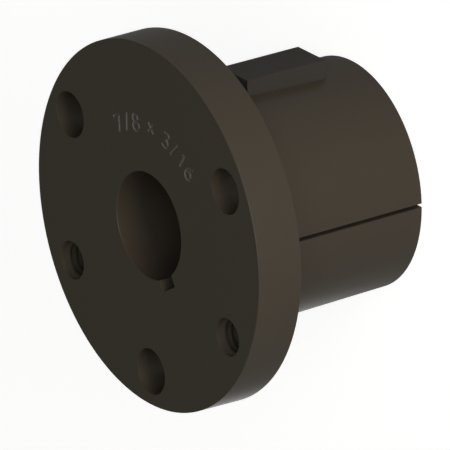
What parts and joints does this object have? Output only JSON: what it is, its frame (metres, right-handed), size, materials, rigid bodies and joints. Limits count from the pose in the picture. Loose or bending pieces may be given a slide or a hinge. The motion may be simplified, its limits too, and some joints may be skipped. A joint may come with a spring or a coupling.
{
  "type": "taper bush",
  "caption": "Flanged taper bush with a keyed bore, a tapered split barrel, an external key and plain and tapped screw holes through its flange.",
  "frame": {"origin": "centre of the barrel's small end face, on the axis of the bore", "axes": "+Z along the bore towards the flange's front face, +Y towards the external key, +X along the plane of the barrel's slits"},
  "size_m": [0.0762, 0.0762, 0.0497],
  "materials": {
    "bush_iron": "turned grey iron with a dark phosphate and oil finish",
    "key_steel": "drawn steel key bar with a black oxide finish"
  },
  "bodies": {
    "root": {"taper_bush": "bush_iron", "external_key": "key_steel"}
  },
  "joints": []
}
